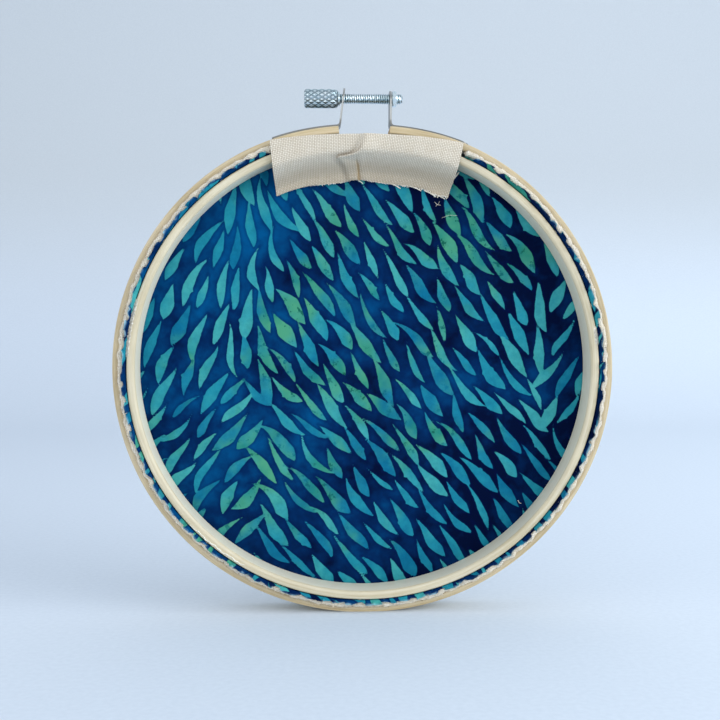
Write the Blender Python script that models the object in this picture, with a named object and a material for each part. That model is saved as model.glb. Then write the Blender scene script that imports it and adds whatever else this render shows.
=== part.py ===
"""Embroidery hoop with its work clamped in it, built to be seen from the back.

A round canvas and a batik lining are stretched over a closed wooden ring and clamped by a split
wooden ring, which a thumb screw closes between two bent metal ears. The hoop stands on its outer
ring. +Z is up, the back of the work faces -Y and its plain front faces +Y.
"""

import math
import random

import bmesh
import bpy
from mathutils import Matrix, Vector

MM = 0.001

# Rings: radii are across the hoop, its height is OVAL times as much, and the clasp presses its top in
OVAL = 0.983
TOP_DROP = 0.7 * MM
TOP_SPREAD = 20.0
RING_OUTER = 67.2 * MM
OUTER_RING_THICK = 1.95 * MM
INNER_RING_THICK = 2.25 * MM
OUTER_RING_DEPTH = 10.0 * MM
INNER_RING_DEPTH = 9.0 * MM
INNER_RING_BACK = 1.0 * MM
RING_ROUND = 0.4 * MM
FLAT_CHORD = 12.0 * MM
HOOP_FORWARD = 1.64 * MM
SPLIT_LEFT = -6.9 * MM
SPLIT_RIGHT = 6.75 * MM
RING_STEPS = 84

# Cloth: full thickness on the drum and the flap, squeezed to half of it in the clamp
GAP = 0.3 * MM
SHEET = 1.0 * MM
SQUEEZE = 0.5
CLOTH_STEPS = 84
CLAMP_START = 0.3 * MM
CLAMP_END = 0.2 * MM
EDGE_RISE = 0.9 * MM
EDGE_LEAN = 1.0 * MM
EDGE_OUT = 0.3 * MM

# Flap of the canvas over the inner ring, from one side to the other
FLAP_LEFT = -22.7
FLAP_RIGHT = 23.7
FLAP_STEPS = 16
FLAP_MARGIN = 4.0
TUCK_HEIGHT = 0.9 * MM
TUCK_WIDTHS = (0.045, 0.09)

# Clasp: two bent straps, and the thumb screw between their ears
STRAP_THICK = 0.45 * MM
STRAP_WIDTH = 7.0 * MM
STRAP_BEND = 1.0 * MM
EAR_ROUND = 2.4 * MM
EAR_HOLE = 1.75 * MM
EAR_LEFT = -6.45 * MM
EAR_LEFT_TOP = (-5.3 * MM, 75.9 * MM)
EAR_RIGHT = 7.05 * MM
EAR_RIGHT_TOP = (7.07 * MM, 74.9 * MM)
FOOT_LEFT = -21.4
FOOT_RIGHT = 24.6
SCREW_HEIGHT = 72.8 * MM
ROD_RADIUS = 1.4 * MM
KNOB_RADIUS = 2.58 * MM
KNOB_START = -16.1 * MM
KNOB_END = -6.55 * MM
TURNED_EDGE = 0.25 * MM
COLLAR_RADIUS = 1.9 * MM
COLLAR_LENGTH = 0.3 * MM
SHOULDER_LENGTH = 0.5 * MM
ROD_END = 10.45 * MM
NUT_ACROSS = 4.2 * MM
NUT_THICK = 1.2 * MM
CUTTER_DEPTH = 4.0 * MM
TURNED_SIDES = 18

# Sizes that follow from those above
OUTER_RING_BORE = RING_OUTER - OUTER_RING_THICK
SQUEEZED = SHEET * SQUEEZE
CANVAS_RADIUS = OUTER_RING_BORE - GAP - SQUEEZED / 2
BATIK_RADIUS = CANVAS_RADIUS - SQUEEZED - GAP
INNER_RING_OUTER = BATIK_RADIUS - SQUEEZED / 2 - GAP
INNER_RING_BORE = INNER_RING_OUTER - INNER_RING_THICK
OUTER_BACK = -OUTER_RING_DEPTH / 2
BACK_FACE = OUTER_BACK - INNER_RING_BACK
FRONT_FACE = BACK_FACE + INNER_RING_DEPTH
BATIK_LEVEL = FRONT_FACE + GAP + SHEET / 2
CANVAS_LEVEL = BATIK_LEVEL + SHEET + GAP
FLAT_DEPTH = FLAT_CHORD ** 2 * OVAL / (8 * RING_OUTER)
CENTRE = Vector((0, HOOP_FORWARD, OVAL * RING_OUTER - FLAT_DEPTH))

# Paths of the cloths over the ring's front edge: share of SHEET, way inwards from the clamp, and
# depth behind the cloth's flat
LINING_RIM = ((1.0, 1.6 * MM, 0.0), (0.8, 0.5 * MM, 0.25 * MM))
CANVAS_RIM = ((1.0, 2.1 * MM, 0.0), (0.85, 0.7 * MM, 0.3 * MM), (0.6, 0.1 * MM, 1.2 * MM))

# The flap's path over the inner ring: share of SHEET, way inwards from the clamp, and depth from
# the inner ring's back face
FLAP_PATH = (
    (0.7, -0.1 * MM, -0.3 * MM),
    (1.0, 0.7 * MM, -1.15 * MM),
    (1.0, 2.2 * MM, -1.5 * MM),
    (1.0, 4.0 * MM, -1.4 * MM),
    (1.0, 5.2 * MM, -0.5 * MM),
    (1.0, 6.5 * MM, 2.4 * MM),
    (1.0, 7.7 * MM, 5.9 * MM),
    (1.0, 8.8 * MM, 7.9 * MM),
    (1.0, 10.2 * MM, 8.4 * MM),
)

# The flap's cut edge: place across the hoop, height over the hoop's centre, and depth as above
FLAP_EDGE = (
    (-24.5 * MM, 48.7 * MM, 8.3 * MM),
    (-17.8 * MM, 49.8 * MM, 8.4 * MM),
    (-9.6 * MM, 50.8 * MM, 8.0 * MM),
    (-1.8 * MM, 51.7 * MM, 8.3 * MM),
    (4.3 * MM, 50.6 * MM, 7.8 * MM),
    (9.9 * MM, 49.8 * MM, 8.4 * MM),
    (16.8 * MM, 48.7 * MM, 8.2 * MM),
    (23.2 * MM, 46.5 * MM, 7.6 * MM),
)

# The tuck's line on the flap: share of the way down, share of the width
TUCK_LINE = ((0.0, 0.52), (0.3, 0.49), (0.55, 0.36), (1.0, 0.48))


def clear_scene():
    for obj in list(bpy.data.objects):
        bpy.data.objects.remove(obj, do_unlink=True)


def make_material(name, colour, roughness, metallic=0.0):
    material = bpy.data.materials.new(name)
    material.use_nodes = True
    shader = material.node_tree.nodes["Principled BSDF"]
    shader.inputs["Base Color"].default_value = (*colour, 1.0)
    shader.inputs["Roughness"].default_value = roughness
    shader.inputs["Metallic"].default_value = metallic
    return material


def add_object(name, bm, material, at=CENTRE):
    mesh = bpy.data.meshes.new(name)
    bm.to_mesh(mesh)
    bm.free()
    mesh.shade_smooth()
    mesh.set_sharp_from_angle(angle=math.radians(35))
    mesh.materials.append(material)
    obj = bpy.data.objects.new(name, mesh)
    obj.location = at
    bpy.context.scene.collection.objects.link(obj)
    return obj


def on_hoop(degrees, radius, depth):
    """Point at an angle from the top, clockwise seen from the back, on the hoop's oval."""
    turn = math.radians(degrees)
    from_top = ((degrees + 180) % 360 - 180) / TOP_SPREAD
    drop = TOP_DROP * math.exp(-from_top ** 2)
    return Vector((radius * math.sin(turn), depth, OVAL * radius * math.cos(turn) - drop))


def between(table, value):
    """Read a table of rows by its first column, in straight steps between rows."""
    for low, high in zip(table, table[1:]):
        if value <= high[0]:
            share = (value - low[0]) / (high[0] - low[0])
            share = min(max(share, 0.0), 1.0)
            return [a + (b - a) * share for a, b in zip(low[1:], high[1:])]
    return list(table[-1][1:])


def spread(start, end, steps):
    return [start + (end - start) * k / steps for k in range(steps + 1)]


def rounded_section(inner, outer, back, front, edge):
    """Corners of a ring's section as (radius, depth), each cut back by a round of two points."""
    cut = edge * 0.3
    return [
        (inner + edge, back), (outer - edge, back),
        (outer - cut, back + cut), (outer, back + edge),
        (outer, front - edge), (outer - cut, front - cut),
        (outer - edge, front), (inner + edge, front),
        (inner + cut, front - cut), (inner, front - edge),
        (inner, back + edge), (inner + cut, back + cut),
    ]


def sweep_section(section, angles, closed, floor=None):
    """Carry a section round the hoop, closed on itself or capped at both ends."""
    bm = bmesh.new()
    loops = []
    for degrees in angles:
        loop = []
        for radius, depth in section:
            point = on_hoop(degrees, radius, depth)
            if floor is not None:
                point.z = max(point.z, floor)
            loop.append(bm.verts.new(point))
        loops.append(loop)
    pairs = list(zip(loops, loops[1:]))
    if closed:
        pairs.append((loops[-1], loops[0]))
    for here, there in pairs:
        for k in range(len(section)):
            after = (k + 1) % len(section)
            bm.faces.new((here[k], here[after], there[after], there[k]))
    if not closed:
        bm.faces.new(loops[0])
        bm.faces.new(reversed(loops[-1]))
    bmesh.ops.recalc_face_normals(bm, faces=bm.faces)
    return bm


def make_inner_ring(material):
    section = rounded_section(
        INNER_RING_BORE, INNER_RING_OUTER, BACK_FACE, FRONT_FACE, RING_ROUND)
    bm = sweep_section(section, spread(0, 360, RING_STEPS)[:-1], closed=True)
    return add_object("inner_ring", bm, material)


def make_outer_ring(material):
    """The split ring, with a small flat under it to stand on."""
    section = rounded_section(
        OUTER_RING_BORE, RING_OUTER, OUTER_BACK, -OUTER_BACK, RING_ROUND)
    half_flat = math.degrees(math.asin(FLAT_CHORD / (2 * RING_OUTER)))
    middle = RING_OUTER - OUTER_RING_THICK / 2
    start = math.degrees(math.asin(SPLIT_RIGHT / middle))
    end = 360 + math.degrees(math.asin(SPLIT_LEFT / middle))
    side_steps = RING_STEPS // 2 - 2
    angles = spread(start, 180 - half_flat, side_steps)
    angles += spread(180 - half_flat, 180 + half_flat, 2)[1:]
    angles += spread(180 + half_flat, end, side_steps)[1:]
    bm = sweep_section(section, angles, closed=False, floor=-CENTRE.z)
    return add_object("outer_ring", bm, material)


def unevenness(seed, waves):
    """A repeatable uneven height from 0 to 1 around the hoop, from a few random waves."""
    rng = random.Random(seed)
    parts = [(count, rng.uniform(0, math.tau), rng.uniform(0.5, 1.0)) for count in waves]
    total = sum(size for _, _, size in parts)

    def height(degrees):
        turn = math.radians(degrees)
        level = sum(size * math.sin(count * turn + phase) for count, phase, size in parts)
        return 0.5 + 0.5 * level / total

    return height


def rim_points(degrees, radius, level, rim):
    """A cloth's points from its flat, over the ring's front edge, into the clamp."""
    rows = [(1.0, 0.5 * radius, level)]
    rows += [(share, radius - inward, level - back) for share, inward, back in rim]
    rows.append((SQUEEZE, radius, FRONT_FACE - CLAMP_START))
    return [(share, on_hoop(degrees, r, y)) for share, r, y in rows]


def clamped_sheet(name, level, columns, material):
    """One cloth from its middle over the ring's rim and through the clamp to its raw edge."""
    bm = bmesh.new()
    weights = bm.verts.layers.deform.verify()
    middle = bm.verts.new((0, level, 0))
    middle[weights][0] = 1.0
    lines = []
    for column in columns:
        line = []
        for share, point in column:
            vert = bm.verts.new(point)
            vert[weights][0] = share
            line.append(vert)
        lines.append(line)
    for here, there in zip(lines, lines[1:] + lines[:1]):
        bm.faces.new((middle, here[0], there[0]))
        for k in range(min(len(here), len(there)) - 1):
            bm.faces.new((here[k], here[k + 1], there[k + 1], there[k]))
    bmesh.ops.recalc_face_normals(bm, faces=bm.faces)
    obj = add_object(name, bm, material)
    obj.vertex_groups.new(name="squeeze")
    solid = obj.modifiers.new("thickness", "SOLIDIFY")
    solid.thickness = SHEET
    solid.offset = 0.0
    solid.use_even_offset = True
    solid.vertex_group = "squeeze"
    return obj


def make_batik_lining(material):
    """The lining: its pleated raw edge stands a little out of the clamp, and lies low under the flap."""
    rise = unevenness(3, (7, 19, 31, 38))
    lean = unevenness(5, (11, 23, 36, 41))
    columns = []
    for degrees in spread(0, 360, CLOTH_STEPS)[:-1]:
        signed = (degrees + 180) % 360 - 180
        mouth = BACK_FACE + 2 * CLAMP_END
        edge = BACK_FACE + CLAMP_END
        out = 0.0
        if not FLAP_LEFT - FLAP_MARGIN < signed < FLAP_RIGHT + FLAP_MARGIN:
            edge = BACK_FACE - GAP - EDGE_RISE * (0.3 + 0.9 * rise(degrees))
            out = 0.5 * EDGE_LEAN * lean(degrees)
        column = rim_points(degrees, BATIK_RADIUS, BATIK_LEVEL, LINING_RIM)
        column.append((SQUEEZE, on_hoop(degrees, BATIK_RADIUS, mouth)))
        column.append((SQUEEZE, on_hoop(degrees, BATIK_RADIUS + out, edge)))
        columns.append(column)
    return clamped_sheet("batik_lining", BATIK_LEVEL, columns, material)


def flap_points(degrees):
    """The flap's line at one place: over the inner ring, down into the recess, to its cut edge."""
    across = (degrees - FLAP_LEFT) / (FLAP_RIGHT - FLAP_LEFT)
    base = on_hoop(degrees, CANVAS_RADIUS, 0)
    edge_x = FLAP_EDGE[0][0] + across * (FLAP_EDGE[-1][0] - FLAP_EDGE[0][0])
    edge_z, edge_depth = between(FLAP_EDGE, edge_x)
    way = Vector((edge_x - base.x, 0, edge_z - base.z))
    length = way.length
    way.normalize()
    inwards = -Vector((base.x, 0, base.z)).normalized()
    slant = max(way.dot(inwards), 0.7)
    points = []
    for share, inward, depth in FLAP_PATH:
        run = min(inward / slant, length * 0.9)
        lift = tuck_lift(run / length, across)
        out = BACK_FACE + depth - lift
        points.append((share, base + way * run + Vector((0, out, 0))))
    out = BACK_FACE + edge_depth - tuck_lift(1.0, across)
    points.append((1.0, base + way * length + Vector((0, out, 0))))
    return points


def tuck_lift(down, across):
    """Height of the soft fold that the flap makes where it is bent round the ring."""
    off = across - between(TUCK_LINE, down)[0]
    width = TUCK_WIDTHS[off > 0]
    return TUCK_HEIGHT * math.exp(-(off / width) ** 2) * math.sin(math.pi * min(down + 0.25, 1.0))


def make_canvas(material):
    """The canvas: stretched over the lining, with its trimmed raw edge, and one flap left long."""
    rise = unevenness(8, (5, 17, 29, 37))
    lean = unevenness(9, (9, 21, 33, 40))
    angles = spread(FLAP_LEFT, FLAP_RIGHT, FLAP_STEPS)
    angles += spread(FLAP_RIGHT, 360 + FLAP_LEFT, CLOTH_STEPS)[1:-1]
    columns = []
    for number, degrees in enumerate(angles):
        column = rim_points(degrees, CANVAS_RADIUS, CANVAS_LEVEL, CANVAS_RIM)
        column.append((SQUEEZE, on_hoop(degrees, CANVAS_RADIUS, OUTER_BACK + CLAMP_END)))
        if number <= FLAP_STEPS:
            column += flap_points(degrees)
        else:
            from_flap = min(degrees - FLAP_RIGHT, 360 + FLAP_LEFT - degrees)
            fade = min(from_flap / (2 * FLAP_MARGIN), 1.0)
            out = EDGE_LEAN * (0.25 + lean(degrees)) * fade
            up = EDGE_RISE * (0.2 + 0.8 * rise(degrees))
            low = OUTER_BACK - GAP - SHEET * 0.4
            column.append((SQUEEZE, on_hoop(degrees, CANVAS_RADIUS + EDGE_OUT * out / EDGE_LEAN, low)))
            column.append((SQUEEZE, on_hoop(degrees, CANVAS_RADIUS + EDGE_OUT + out, low - up)))
        columns.append(column)
    return clamped_sheet("canvas", CANVAS_LEVEL, columns, material)


def strap_line(side, foot_end, ear_x, ear_top):
    """Middle line of a strap, from its foot's end along the ring, round the bend and up the ear."""
    middle = RING_OUTER + GAP + STRAP_THICK / 2
    bend_x = ear_x + side * STRAP_BEND
    start = math.degrees(math.asin(bend_x / middle))
    line = [on_hoop(degrees, middle, 0) for degrees in spread(foot_end, start, 6)]
    corner = line[-1]
    for share in (0.3, 0.6, 0.85):
        turn = share * math.pi / 2
        line.append(corner + Vector((
            -side * STRAP_BEND * math.sin(turn), 0, STRAP_BEND * (1 - math.cos(turn)))))
    line.append(Vector((ear_x, 0, corner.z + STRAP_BEND * 1.1)))
    line.append(Vector((ear_top[0], 0, ear_top[1])))
    return [Vector((point.x, point.z)) for point in line]


def make_strap(name, line, material):
    """A strap of even thickness along its line, with a round-cornered ear and a hole for the rod."""
    half = STRAP_THICK / 2
    left, right = [], []
    for k, point in enumerate(line):
        before = line[max(k - 1, 0)]
        after = line[min(k + 1, len(line) - 1)]
        along = (after - before).normalized()
        normal = Vector((-along.y, along.x))
        left.append(point + normal * half)
        right.append(point - normal * half)
    bm = bmesh.new()
    outline = left + right[::-1]
    near = [bm.verts.new((p.x, -STRAP_WIDTH / 2, p.y)) for p in outline]
    face = bm.faces.new(near)
    out = bmesh.ops.extrude_face_region(bm, geom=[face])
    moved = [item for item in out["geom"] if isinstance(item, bmesh.types.BMVert)]
    bmesh.ops.translate(bm, verts=moved, vec=(0, STRAP_WIDTH, 0))
    top = max(p.y for p in outline) - STRAP_THICK
    corners = [
        edge for edge in bm.edges
        if all(vert.co.z > top for vert in edge.verts)
        and abs(edge.verts[0].co.y - edge.verts[1].co.y) < half
    ]
    bmesh.ops.bevel(
        bm, geom=corners, offset=EAR_ROUND, segments=4, profile=0.5, affect="EDGES",
        clamp_overlap=True)
    bmesh.ops.recalc_face_normals(bm, faces=bm.faces)
    strap = add_object(name, bm, material)
    hole = strap.modifiers.new("hole", "BOOLEAN")
    hole.operation = "DIFFERENCE"
    hole.object = make_ear_cutter(name + "_hole", line[-1].x)
    return strap


def make_ear_cutter(name, x):
    bm = bmesh.new()
    bmesh.ops.create_cone(
        bm, cap_ends=True, segments=TURNED_SIDES, radius1=EAR_HOLE, radius2=EAR_HOLE,
        depth=CUTTER_DEPTH, matrix=Matrix.Rotation(math.pi / 2, 4, "Y"))
    mesh = bpy.data.meshes.new(name)
    bm.to_mesh(mesh)
    bm.free()
    cutter = bpy.data.objects.new(name, mesh)
    cutter.location = CENTRE + Vector((x, 0, SCREW_HEIGHT))
    cutter.hide_render = True
    cutter.display_type = "WIRE"
    bpy.context.scene.collection.objects.link(cutter)
    return cutter


def make_clasp_left(material):
    line = strap_line(-1, FOOT_LEFT, EAR_LEFT, EAR_LEFT_TOP)
    return make_strap("clasp_left", line, material)


def make_clasp_right(material):
    line = strap_line(1, FOOT_RIGHT, EAR_RIGHT, EAR_RIGHT_TOP)
    return make_strap("clasp_right", line, material)


def make_screw(material):
    """Knob and rod as one turned piece, with its origin on its own axis."""
    shoulder = KNOB_END - COLLAR_LENGTH
    profile = (
        (KNOB_START, KNOB_RADIUS - TURNED_EDGE),
        (KNOB_START + TURNED_EDGE, KNOB_RADIUS),
        (shoulder - SHOULDER_LENGTH, KNOB_RADIUS),
        (shoulder, COLLAR_RADIUS),
        (KNOB_END, COLLAR_RADIUS),
        (KNOB_END, ROD_RADIUS),
        (ROD_END - TURNED_EDGE, ROD_RADIUS),
        (ROD_END, ROD_RADIUS - TURNED_EDGE),
    )
    bm = bmesh.new()
    rings = [turned_ring(bm, x, lambda turn: radius) for x, radius in profile]
    for here, there in zip(rings, rings[1:]):
        join_rings(bm, here, there)
    bm.faces.new(rings[0])
    bm.faces.new(rings[-1])
    bmesh.ops.recalc_face_normals(bm, faces=bm.faces)
    return add_object("screw", bm, material, CENTRE + Vector((0, 0, SCREW_HEIGHT)))


def turned_ring(bm, x, reach):
    """A ring of points about the X axis, each as far out as reach says for its turn."""
    ring = []
    for k in range(TURNED_SIDES):
        turn = math.tau * k / TURNED_SIDES
        radius = reach(turn)
        ring.append(bm.verts.new((x, radius * math.cos(turn), radius * math.sin(turn))))
    return ring


def join_rings(bm, here, there):
    for k in range(TURNED_SIDES):
        after = (k + 1) % TURNED_SIDES
        bm.faces.new((here[k], here[after], there[after], there[k]))


def make_nut(material):
    """A small hexagon nut on the rod, against the right ear."""
    start = EAR_RIGHT + STRAP_THICK / 2 + GAP

    def hexagon(turn):
        return NUT_ACROSS / 2 / math.cos(turn % (math.pi / 3) - math.pi / 6)

    bm = bmesh.new()
    near_out, far_out = [turned_ring(bm, x, hexagon) for x in (start, start + NUT_THICK)]
    near_in, far_in = [
        turned_ring(bm, x, lambda turn: ROD_RADIUS + GAP) for x in (start, start + NUT_THICK)]
    walls = ((near_out, near_in), (far_out, far_in), (near_out, far_out), (near_in, far_in))
    for first, second in walls:
        join_rings(bm, first, second)
    bmesh.ops.recalc_face_normals(bm, faces=bm.faces)
    return add_object("nut", bm, material, CENTRE + Vector((0, 0, SCREW_HEIGHT)))


def main():
    clear_scene()
    pale_wood = make_material("pale_wood", (0.74, 0.66, 0.47), 0.55)
    tan_wood = make_material("tan_wood", (0.67, 0.53, 0.31), 0.55)
    batik = make_material("batik_cotton", (0.01, 0.07, 0.17), 0.85)
    canvas = make_material("cream_canvas", (0.61, 0.56, 0.47), 0.9)
    plated = make_material("plated_steel", (0.62, 0.66, 0.70), 0.3, 1.0)
    make_inner_ring(pale_wood)
    make_outer_ring(tan_wood)
    make_batik_lining(batik)
    make_canvas(canvas)
    make_clasp_left(plated)
    make_clasp_right(plated)
    make_screw(plated)
    make_nut(plated)


main()
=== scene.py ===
import math

import bmesh
import bpy
import numpy as np
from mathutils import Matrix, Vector


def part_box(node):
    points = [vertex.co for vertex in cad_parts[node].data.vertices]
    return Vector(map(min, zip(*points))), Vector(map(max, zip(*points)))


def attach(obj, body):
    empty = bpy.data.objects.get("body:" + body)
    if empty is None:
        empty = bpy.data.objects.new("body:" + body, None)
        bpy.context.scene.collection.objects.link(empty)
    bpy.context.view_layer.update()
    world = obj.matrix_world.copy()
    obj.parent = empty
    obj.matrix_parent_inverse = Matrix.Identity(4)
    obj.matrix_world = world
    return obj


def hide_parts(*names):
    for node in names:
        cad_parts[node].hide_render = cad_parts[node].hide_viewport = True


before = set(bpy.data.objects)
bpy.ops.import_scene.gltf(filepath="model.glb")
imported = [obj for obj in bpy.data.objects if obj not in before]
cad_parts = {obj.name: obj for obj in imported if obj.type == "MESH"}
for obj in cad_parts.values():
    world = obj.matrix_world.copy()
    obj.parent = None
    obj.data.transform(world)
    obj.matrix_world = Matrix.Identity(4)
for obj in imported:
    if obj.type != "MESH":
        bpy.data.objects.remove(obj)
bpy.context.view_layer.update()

# The hoop embroidery seen from its back: finer shapes and materials round the fixed frame.
# Places are in metres in the frame's axes, or in mm where a comment says so. Angles go clockwise
# from the top as seen from the back, and depth is along +Y, away from the camera.

MM = 0.001
TAU = math.tau

# The hoop's outline: its height over its width, and how far and how wide its top is flattened
OVAL = 0.983
TOP_DROP = 1.1 * MM
TOP_SPREAD = math.radians(20)

OUTER_LOW, OUTER_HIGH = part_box("outer_ring")
INNER_LOW, INNER_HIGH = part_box("inner_ring")
MIDDLE = (OUTER_LOW.y + OUTER_HIGH.y) / 2
CENTRE_Z = INNER_LOW.z + OVAL * (INNER_HIGH.x - INNER_LOW.x) / 2
BACK = INNER_LOW.y
FRONT = INNER_HIGH.y
OUTER_BACK = OUTER_LOW.y
OUTER_FRONT = OUTER_HIGH.y

INNER_OUT = (INNER_HIGH.x - INNER_LOW.x) / 2
INNER_BORE = INNER_OUT - 2.25 * MM
OUTER_OUT = 67.2 * MM
OUTER_BORE = 65.25 * MM
SPLIT_LEFT = -6.9 * MM
SPLIT_RIGHT = 6.75 * MM

# The cloths: width of a canvas yarn and the canvas's radius in the clamp, in mm, and points round
# the lining's rim and both raw edges
YARN = 0.44
CLAMP_RADIUS = 64.6
RIM_POINTS = 720
EDGE_POINTS = 1440
EDGE_TURN = np.arange(EDGE_POINTS) * TAU / EDGE_POINTS


def srgb(red, green, blue):
    """A colour read on screen, 0 to 255, as the linear colour that a shader takes."""
    out = []
    for value in (red, green, blue):
        value /= 255
        out.append(value / 12.92 if value <= 0.04045 else ((value + 0.055) / 1.055) ** 2.4)
    return (*out, 1.0)


def from_top(turn):
    """The same angle, counted from -pi to pi with the top at 0."""
    return (turn + math.pi) % TAU - math.pi


def on_hoop(turn, radius, depth):
    """Points on the hoop's oval, from arrays of angle, radius and depth."""
    turn, radius, depth = np.broadcast_arrays(turn, radius, depth)
    near_top = np.exp(-(from_top(turn) / TOP_SPREAD) ** 2)
    drop = TOP_DROP * near_top * np.clip(radius / INNER_OUT, 0, 1) ** 4
    return np.stack(
        (radius * np.sin(turn), depth, CENTRE_Z + OVAL * radius * np.cos(turn) - drop), axis=-1)


def waves(seed, counts, turn):
    """A repeatable uneven value of about -1 to 1 round the hoop."""
    rng = np.random.default_rng(seed)
    total = np.zeros_like(turn)
    for count in counts:
        total += rng.uniform(0.5, 1.0) * np.sin(count * turn + rng.uniform(0, TAU))
    return total / (0.75 * math.sqrt(len(counts)) * 1.4)


def grid(rows, columns, closed=False):
    """Quads of a grid of points, its last column joined to its first if closed."""
    row = np.arange(rows - 1)[:, None] * columns
    here = np.arange(columns if closed else columns - 1)[None, :]
    there = (here + 1) % columns
    quads = (row + here, row + there, row + columns + there, row + columns + here)
    return np.stack(quads, axis=-1).reshape(-1, 4)


def unit(vectors):
    """The same vectors at length one."""
    return vectors / np.maximum(np.linalg.norm(vectors, axis=-1, keepdims=True), 1e-12)


def distances(line):
    """How far each point of a line is from its first, along the line."""
    return np.concatenate(([0], np.cumsum(np.linalg.norm(np.diff(line, axis=0), axis=1))))


def end_faces(rows, sides, first=0):
    """The two end faces of a tube whose points start at first, row by row."""
    last = first + (rows - 1) * sides
    return [list(range(first, first + sides))[::-1], list(range(last, last + sides))]


def tube_faces(rows, sides):
    """The faces of a tube and of its two ends."""
    return grid(rows, sides, closed=True).tolist() + end_faces(rows, sides)


def face_outward(mesh):
    bm = bmesh.new()
    bm.from_mesh(mesh)
    bmesh.ops.recalc_face_normals(bm, faces=bm.faces)
    bm.to_mesh(mesh)
    bm.free()


def make_piece(name, points, faces, material, flat=None, values=None, closed=False):
    """A mesh from arrays, with a flat layout per point as UVs and named values per point."""
    mesh = bpy.data.meshes.new(name)
    mesh.from_pydata(np.asarray(points).reshape(-1, 3).tolist(), [], faces)
    mesh.validate()
    if closed:
        face_outward(mesh)
    mesh.shade_smooth()
    if flat is not None:
        corners = np.zeros(len(mesh.loops), np.int32)
        mesh.loops.foreach_get("vertex_index", corners)
        layer = mesh.uv_layers.new(name="flat")
        layer.data.foreach_set("uv", np.asarray(flat, np.float32).reshape(-1, 2)[corners].ravel())
    for key, value in (values or {}).items():
        stored = mesh.attributes.new(key, "FLOAT", "POINT")
        stored.data.foreach_set("value", np.asarray(value, np.float32).ravel())
    mesh.materials.append(material)
    piece = bpy.data.objects.new(name, mesh)
    bpy.context.scene.collection.objects.link(piece)
    return piece


def tube_mesh(paths, radii, sides):
    """Points and faces of round threads along paths: thread by point by place."""
    count, length, _ = paths.shape
    along = unit(np.gradient(paths, axis=1))
    mean = along.mean(axis=1, keepdims=True)
    guide = np.where(np.abs(mean[..., 2:3]) > 0.7, [1.0, 0.0, 0.0], [0.0, 0.0, 1.0])
    side = unit(np.cross(along, np.broadcast_to(guide, along.shape)))
    up = np.cross(side, along)
    turn = np.arange(sides) * TAU / sides
    ring = side[:, :, None] * np.cos(turn)[:, None] + up[:, :, None] * np.sin(turn)[:, None]
    points = paths[:, :, None] + ring * radii[:, :, None, None]
    starts = np.arange(count) * length * sides
    faces = (grid(length, sides, closed=True) + starts[:, None, None]).reshape(-1, 4).tolist()
    for start in starts.tolist():
        faces += end_faces(length, sides, start)
    return points.reshape(-1, 3), faces


def smooth_line(points, samples):
    """A smooth line through points, with samples evenly spaced along it."""
    points = np.asarray(points, float)
    padded = np.concatenate((2 * points[:1] - points[1:2], points, 2 * points[-1:] - points[-2:-1]))
    share = np.linspace(0, 1, 12, endpoint=False)[:, None]
    pieces = []
    for a, b, c, d in zip(padded, padded[1:], padded[2:], padded[3:]):
        pieces.append(0.5 * (
            2 * b + (c - a) * share + (2 * a - 5 * b + 4 * c - d) * share ** 2
            + (3 * b - a - 3 * c + d) * share ** 3))
    line = np.concatenate(pieces + [points[-1:]])
    run = distances(line)
    even = np.linspace(0, run[-1], samples)
    return np.stack([np.interp(even, run, line[:, k]) for k in range(line.shape[1])], axis=1)


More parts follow.
